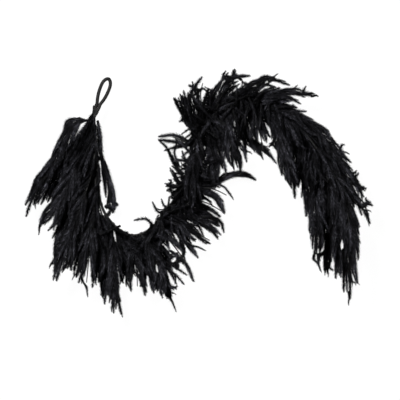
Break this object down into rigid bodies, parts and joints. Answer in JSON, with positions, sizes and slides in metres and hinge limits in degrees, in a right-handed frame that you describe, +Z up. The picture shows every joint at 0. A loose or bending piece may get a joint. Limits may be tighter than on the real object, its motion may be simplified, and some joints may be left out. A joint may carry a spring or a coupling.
{
  "type": "needle garland",
  "caption": "Bendable artificial conifer garland: long black needle sprays tied along a taped wire core with a hanging loop at each end.",
  "frame": {"origin": "under the middle of the garland, on the surface it lies on", "axes": "+X along the longest side of the S, +Y towards the end with the open loop, +Z up, square to the surface"},
  "size_m": [0.9454, 0.6778, 0.1305],
  "materials": {
    "needle_foliage": "matte",
    "core_tape": "matte",
    "loop_wire": "matte"
  },
  "bodies": {
    "section_1": {"core_wire_1": "core_tape", "loop_binding_start": "core_tape", "spray_01": "needle_foliage", "spray_02": "needle_foliage", "spray_03": "needle_foliage", "spray_04": "needle_foliage", "spray_05": "needle_foliage", "spray_06": "needle_foliage"},
    "section_2": {"core_wire_2": "core_tape", "spray_07": "needle_foliage", "spray_08": "needle_foliage", "spray_09": "needle_foliage", "spray_10": "needle_foliage"},
    "section_3": {"core_wire_3": "core_tape", "spray_11": "needle_foliage", "spray_12": "needle_foliage", "spray_13": "needle_foliage", "spray_14": "needle_foliage", "spray_15": "needle_foliage"},
    "section_4": {"core_wire_4": "core_tape", "spray_16": "needle_foliage", "spray_17": "needle_foliage", "spray_18": "needle_foliage", "spray_19": "needle_foliage", "spray_20": "needle_foliage", "spray_21": "needle_foliage", "spray_22": "needle_foliage"},
    "section_5": {"core_wire_5": "core_tape", "spray_23": "needle_foliage", "spray_24": "needle_foliage", "spray_25": "needle_foliage", "spray_26": "needle_foliage", "spray_27": "needle_foliage"},
    "section_6": {"core_wire_6": "core_tape", "spray_28": "needle_foliage", "spray_29": "needle_foliage", "spray_30": "needle_foliage", "spray_31": "needle_foliage", "spray_32": "needle_foliage", "spray_33": "needle_foliage"},
    "section_7": {"core_wire_7": "core_tape", "spray_34": "needle_foliage", "spray_35": "needle_foliage", "spray_36": "needle_foliage", "spray_37": "needle_foliage", "spray_38": "needle_foliage", "spray_39": "needle_foliage", "spray_40": "needle_foliage", "spray_41": "needle_foliage"},
    "section_8": {"core_wire_8": "core_tape", "spray_42": "needle_foliage", "spray_43": "needle_foliage", "spray_44": "needle_foliage", "spray_45": "needle_foliage"},
    "section_9": {"core_wire_9": "core_tape", "loop_binding_end": "core_tape", "spray_46": "needle_foliage", "spray_47": "needle_foliage"},
    "start_loop": {"hanging_loop_start": "loop_wire"},
    "end_loop": {"hanging_loop_end": "loop_wire"}
  },
  "joints": [
    {"name": "core_lift_1_2", "type": "hinge", "parent": "section_2", "child": "section_1", "pos_m": [-0.27739, 0.09541, 0.05], "axis": [0.9993, 0.038, 0], "range_deg": [-20, 20], "deforming": ["spray_01", "spray_02", "spray_03", "spray_04", "spray_05", "spray_06"]},
    {"name": "core_bend_2_3", "type": "hinge", "parent": "section_3", "child": "section_2", "pos_m": [-0.25738, -0.04925, 0.05], "axis": [0, 0, 1], "range_deg": [-20, 20], "deforming": ["spray_07", "spray_08", "spray_09", "spray_10"]},
    {"name": "core_lift_3_4", "type": "hinge", "parent": "section_4", "child": "section_3", "pos_m": [-0.14027, -0.10711, 0.05], "axis": [-0.4575, 0.8892, 0], "range_deg": [-20, 20], "deforming": ["spray_11", "spray_12", "spray_13", "spray_14", "spray_15", "spray_16", "spray_17", "spray_18", "spray_19"]},
    {"name": "core_bend_4_5", "type": "hinge", "parent": "section_5", "child": "section_4", "pos_m": [-0.04459, 0.00312, 0.05], "axis": [0, 0, 1], "range_deg": [-20, 20], "deforming": ["spray_20", "spray_21", "spray_22", "spray_23", "spray_24", "spray_25", "spray_26"]},
    {"name": "core_lift_5_6", "type": "hinge", "parent": "section_5", "child": "section_6", "pos_m": [0.00638, 0.13951, 0.05], "axis": [0.9733, -0.2294, 0], "range_deg": [-20, 20], "deforming": ["spray_27", "spray_28", "spray_29", "spray_31"]},
    {"name": "core_bend_6_7", "type": "hinge", "parent": "section_6", "child": "section_7", "pos_m": [0.09581, 0.24623, 0.05], "axis": [0, 0, 1], "range_deg": [-20, 20], "deforming": ["spray_30", "spray_32", "spray_33", "spray_34", "spray_35"]},
    {"name": "core_lift_7_8", "type": "hinge", "parent": "section_7", "child": "section_8", "pos_m": [0.2399, 0.23471, 0.05], "axis": [-0.3934, -0.9194, 0], "range_deg": [-20, 20], "deforming": ["spray_36", "spray_37", "spray_38", "spray_39", "spray_40", "spray_41"]},
    {"name": "core_bend_8_9", "type": "hinge", "parent": "section_8", "child": "section_9", "pos_m": [0.34198, 0.13304, 0.05], "axis": [0, 0, 1], "range_deg": [-20, 20], "deforming": ["spray_42", "spray_43", "spray_44", "spray_45", "spray_46", "spray_47"]},
    {"name": "start_loop_swing", "type": "hinge", "parent": "section_1", "child": "start_loop", "pos_m": [-0.27634, 0.24186, 0.05], "axis": [0.9283, -0.3719, 0], "range_deg": [-75, 75]},
    {"name": "end_loop_swing", "type": "hinge", "parent": "section_9", "child": "end_loop", "pos_m": [0.38313, -0.00863, 0.05], "axis": [-0.9826, -0.1855, 0], "range_deg": [-75, 75]}
  ]
}
